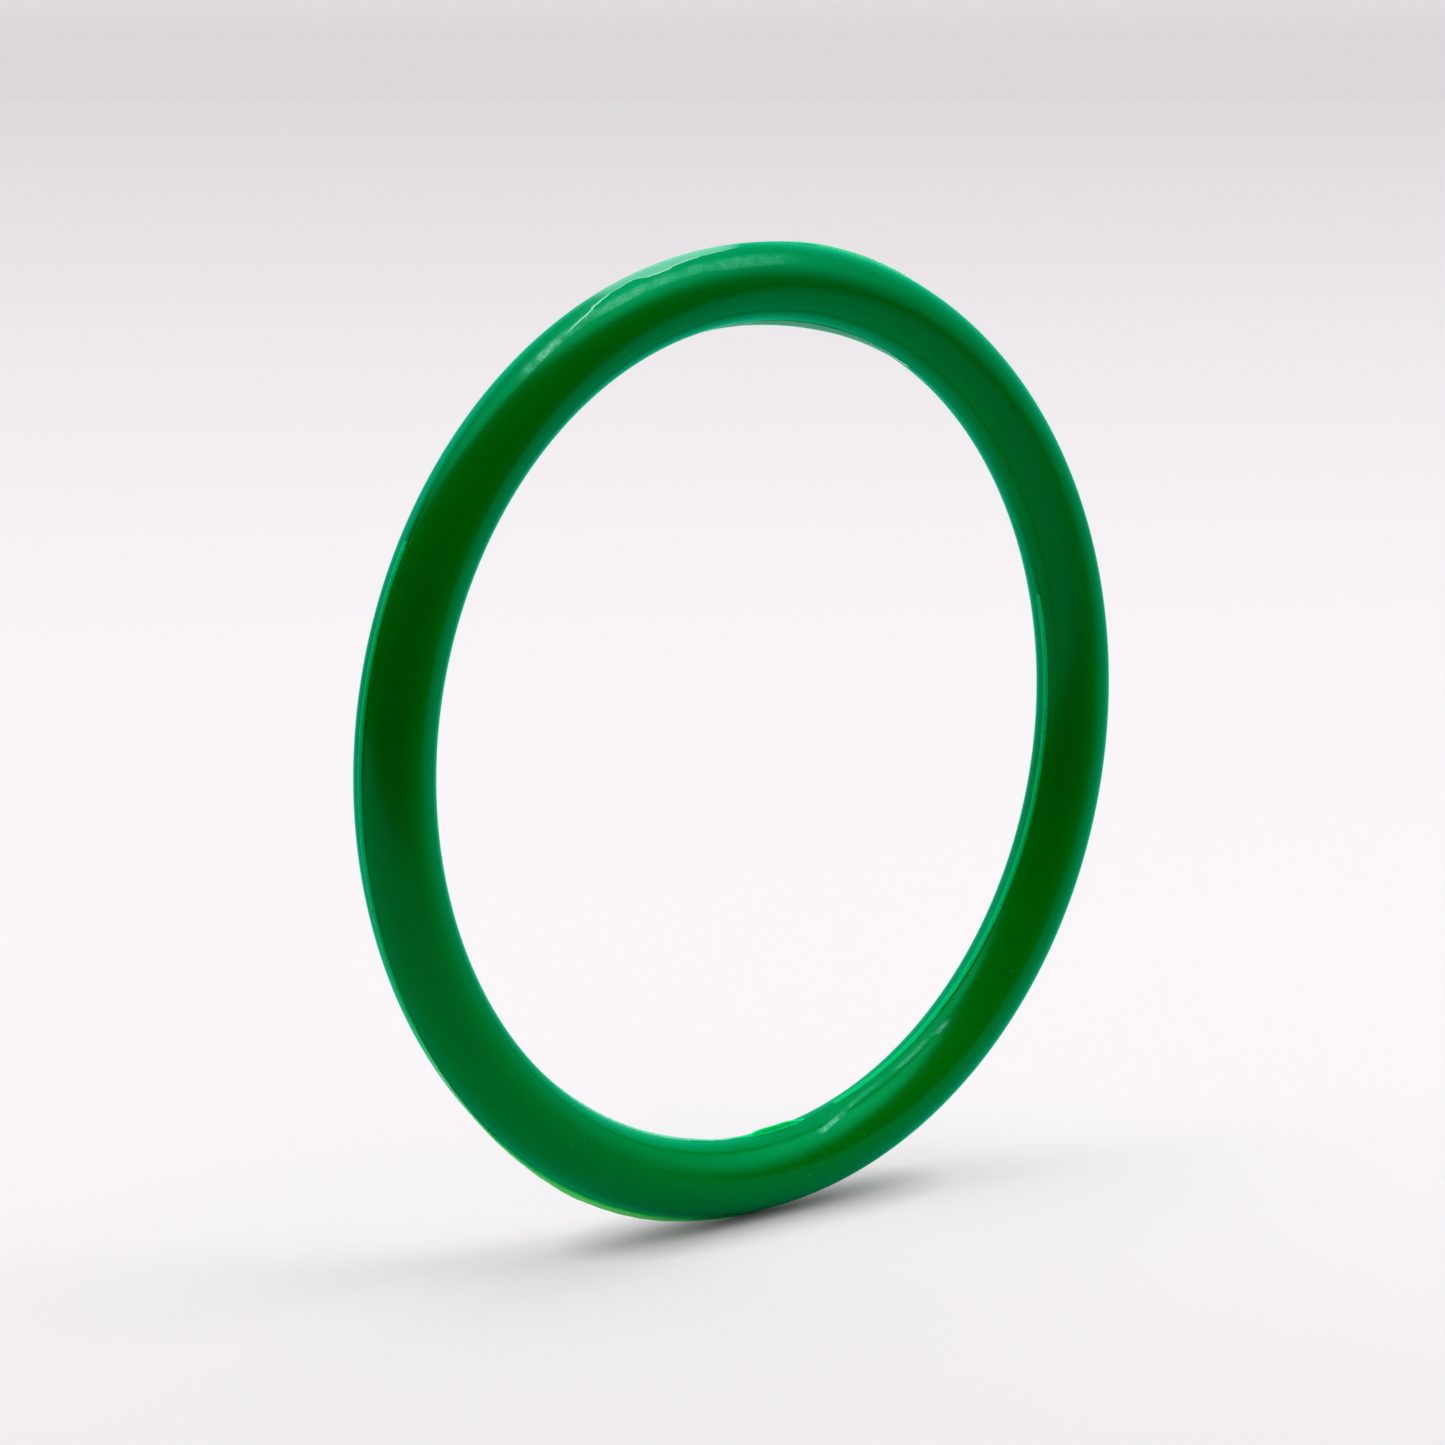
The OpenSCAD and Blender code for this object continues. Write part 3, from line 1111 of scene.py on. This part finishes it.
def add_light_box(scene):
    """The world: a white box of light, pale at the horizon and brightest overhead."""
    world = bpy.data.worlds.new("Light Box")
    world.use_nodes = True
    tree = world.node_tree
    shader = tree.nodes["Background"]
    way = add(tree, "ShaderNodeTexCoord").outputs["Generated"]
    height = add(tree, "ShaderNodeSeparateXYZ", {"Vector": way}).outputs["Z"]
    light = calc(tree, "MULTIPLY", ramp(tree, height, LIGHT_BY_HEIGHT), LIGHT_SCALE)
    for azimuth, elevation, spread, gain in LIGHT_PANELS:
        near = vector_calc(tree, "DOT_PRODUCT", way, towards(azimuth, elevation))
        panel = remap(tree, near, (math.cos(math.radians(spread)), 1.0), (0.0, gain), smooth=True)
        light = calc(tree, "ADD", light, panel)
    tree.links.new(light, shader.inputs["Strength"])
    shader.inputs["Color"].default_value = LIGHT_COLOUR
    scene.world = world


# The dark screen as seen from the ring: its distance in metres, and in degrees its middle's azimuth, its
# reach to each side, its lower edge and its top. A higher power makes that side fuller towards the top
SCREEN_R = 4.0
SCREEN_AZIMUTH = -70
SCREEN_HALVES = (73, 116)
SCREEN_LOW = -50
SCREEN_TOP = 76
SCREEN_POWERS = (1.4, 2.4)
SCREEN_DARK = (0.02, 0.02, 0.02, 1.0)
SCREEN_STEPS = (46, 24)


def add_dark_screen(scene):
    """A round dark screen on the camera's side, which keeps the light box from the ring's front."""
    across, up = SCREEN_STEPS
    points = []
    for i in range(across + 1):
        share = 2 * i / across - 1
        half = 0 if share < 0 else 1
        azimuth = SCREEN_AZIMUTH + share * SCREEN_HALVES[half]
        top = SCREEN_TOP * math.sqrt(max(0, 1 - abs(share) ** SCREEN_POWERS[half]))
        for j in range(up + 1):
            points.append(towards(azimuth, SCREEN_LOW + (top - SCREEN_LOW) * j / up))
    faces = []
    for i in range(across):
        for j in range(up):
            first = i * (up + 1) + j
            faces.append((first, first + 1, first + up + 2, first + up + 1))
    mesh = bpy.data.meshes.new("dark_screen")
    mesh.from_pydata([SCREEN_R * point for point in points], [], faces)
    screen = bpy.data.objects.new("dark_screen", mesh)
    screen.visible_camera = False
    scene.collection.objects.link(screen)
    material, tree = new_material("Dark Screen")
    tree.nodes.clear()
    dark = add(tree, "ShaderNodeBsdfDiffuse", {"Color": SCREEN_DARK})
    add(tree, "ShaderNodeOutputMaterial", {"Surface": dark.outputs[0]})
    mesh.materials.append(material)
    screen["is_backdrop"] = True


FLOOR_R = 12.0
FLOOR_SIDES = 96
# Where the floor's front edge fades out, along a way that is turned from the front
FLOOR_FRONT = math.radians(-20)
FLOOR_FADE = (-390 * MM, -120 * MM)
# Painted shade: where the floor is dimmer in front of the ring, as if less light reached it, and how bright
# it still is there
FLOOR_DIM = (-160 * MM, 0)
DIM_SHARE = 0.93
# How the backdrop's colour comes in with the distance, a painted shade that darkens the floor far away: half
# of it where the distance's power is FAR_HALF
FAR_POWER = 1.5
FAR_HALF = 2.0
# The share of the floor's look that is its own even glow, which softens the shadow; close to the ring the
# glow is darkened into a painted contact shadow
GLOW_SHARE = 0.42
GLOW_STRENGTH = 1.5
CONTACT_REACH = 10 * MM
CONTACT_SAMPLES = 4


def add_floor(scene, stage):
    """A pale floor under the ring, which fades towards the backdrop and keeps the ring's shadow."""
    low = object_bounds()[0].z
    rim = [(FLOOR_R * x, FLOOR_R * y, low) for x, y in arc(1.0, 0, 360 - 360 / FLOOR_SIDES, FLOOR_SIDES - 1)]
    mesh = bpy.data.meshes.new("floor")
    mesh.from_pydata(rim, [], [tuple(range(FLOOR_SIDES))])
    floor = bpy.data.objects.new("floor", mesh)
    scene.collection.objects.link(floor)
    material, tree = new_material("Floor Paper")
    tree.nodes.clear()
    place = add(tree, "ShaderNodeTexCoord").outputs["Object"]
    forward = view_axes(stage)[2]
    behind = vector_calc(tree, "DOT_PRODUCT", place, (-math.sin(FLOOR_FRONT), math.cos(FLOOR_FRONT), 0))
    there = remap(tree, behind, FLOOR_FADE, (0.0, 1.0), smooth=True)
    depth = vector_calc(tree, "DOT_PRODUCT", place, (forward.x, forward.y, 0))
    ahead = calc(tree, "POWER", calc(tree, "MAXIMUM", depth, 0.0), FAR_POWER)
    far = calc(tree, "DIVIDE", ahead, calc(tree, "ADD", ahead, FAR_HALF))
    front = remap(tree, depth, FLOOR_DIM, (DIM_SHARE, 1.0))
    near = vector_calc(tree, "MULTIPLY", tuple(stage.near_floor), front)
    colour = mix_colour(tree, far, near, tuple(stage.far_floor))
    matt = add(tree, "ShaderNodeBsdfDiffuse", {"Color": colour})
    # A painted contact shadow: the glow darkens where the ring is close
    contact_shade = add(
        tree,
        "ShaderNodeAmbientOcclusion",
        {"Color": colour, "Distance": CONTACT_REACH},
        samples=CONTACT_SAMPLES,
    )
    glow = add(tree, "ShaderNodeEmission", {"Color": contact_shade.outputs["Color"], "Strength": GLOW_STRENGTH})
    path = add(tree, "ShaderNodeLightPath").outputs
    seen = calc(tree, "MAXIMUM", path["Is Camera Ray"], path["Is Glossy Ray"])
    seen = calc(tree, "MAXIMUM", seen, path["Is Transmission Ray"])
    share = calc(tree, "MULTIPLY", seen, GLOW_SHARE)
    lit = add(tree, "ShaderNodeMixShader", {0: share, 1: matt.outputs[0], 2: glow.outputs[0]})
    clear = add(tree, "ShaderNodeBsdfTransparent")
    faded = add(tree, "ShaderNodeMixShader", {0: there, 1: clear.outputs[0], 2: lit.outputs[0]})
    add(tree, "ShaderNodeOutputMaterial", {"Surface": faded.outputs[0]})
    mesh.materials.append(material)
    floor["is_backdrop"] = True


class FLYINGRING_OT_stage(Operator):
    """Makes the camera, the light box, the dark screen and the floor"""

    bl_idname = "flying_ring.stage"
    bl_label = "Stage"

    def execute(self, context):
        scene = context.scene
        scene.view_settings.view_transform = "Standard"
        add_camera(scene, scene.ring_stage)
        add_light_box(scene)
        add_dark_screen(scene)
        add_floor(scene, scene.ring_stage)
        return {"FINISHED"}


OPERATORS = (
    FLYINGRING_OT_front_shell,
    FLYINGRING_OT_back_shell,
    FLYINGRING_OT_weld_beads,
    FLYINGRING_OT_stage,
)


class FLYINGRING_PT_panel(Panel):
    """Lists the ring's pieces and its stage"""

    bl_idname = "FLYINGRING_PT_panel"
    bl_label = "Flying Ring"
    bl_space_type = "VIEW_3D"
    bl_region_type = "UI"
    bl_category = "Flying Ring"

    def draw(self, context):
        for operator in OPERATORS:
            self.layout.operator(operator.bl_idname)
        for name in SETTINGS:
            group = getattr(context.scene, name)
            for key in group.bl_rna.properties.keys():
                if key not in ("rna_type", "name"):
                    self.layout.prop(group, key)


SETTINGS = {
    "ring_shape": RingShape,
    "ring_seam": RingSeam,
    "ring_finish": RingFinish,
    "ring_stage": RingStage,
}


def register():
    """Registers the settings, the operators and the panel."""
    for group in SETTINGS.values():
        bpy.utils.register_class(group)
    for name, group in SETTINGS.items():
        setattr(bpy.types.Scene, name, PointerProperty(type=group))
    for operator in OPERATORS:
        bpy.utils.register_class(operator)
    bpy.utils.register_class(FLYINGRING_PT_panel)


def unregister():
    """Takes them out again, in reverse order."""
    bpy.utils.unregister_class(FLYINGRING_PT_panel)
    for operator in reversed(OPERATORS):
        bpy.utils.unregister_class(operator)
    for name in SETTINGS:
        delattr(bpy.types.Scene, name)
    for group in reversed(list(SETTINGS.values())):
        bpy.utils.unregister_class(group)


def main():
    """Builds the ring and its stage."""
    register()
    bpy.ops.flying_ring.front_shell()
    bpy.ops.flying_ring.back_shell()
    bpy.ops.flying_ring.weld_beads()
    bpy.ops.flying_ring.stage()


if __name__ == "__main__":
    main()
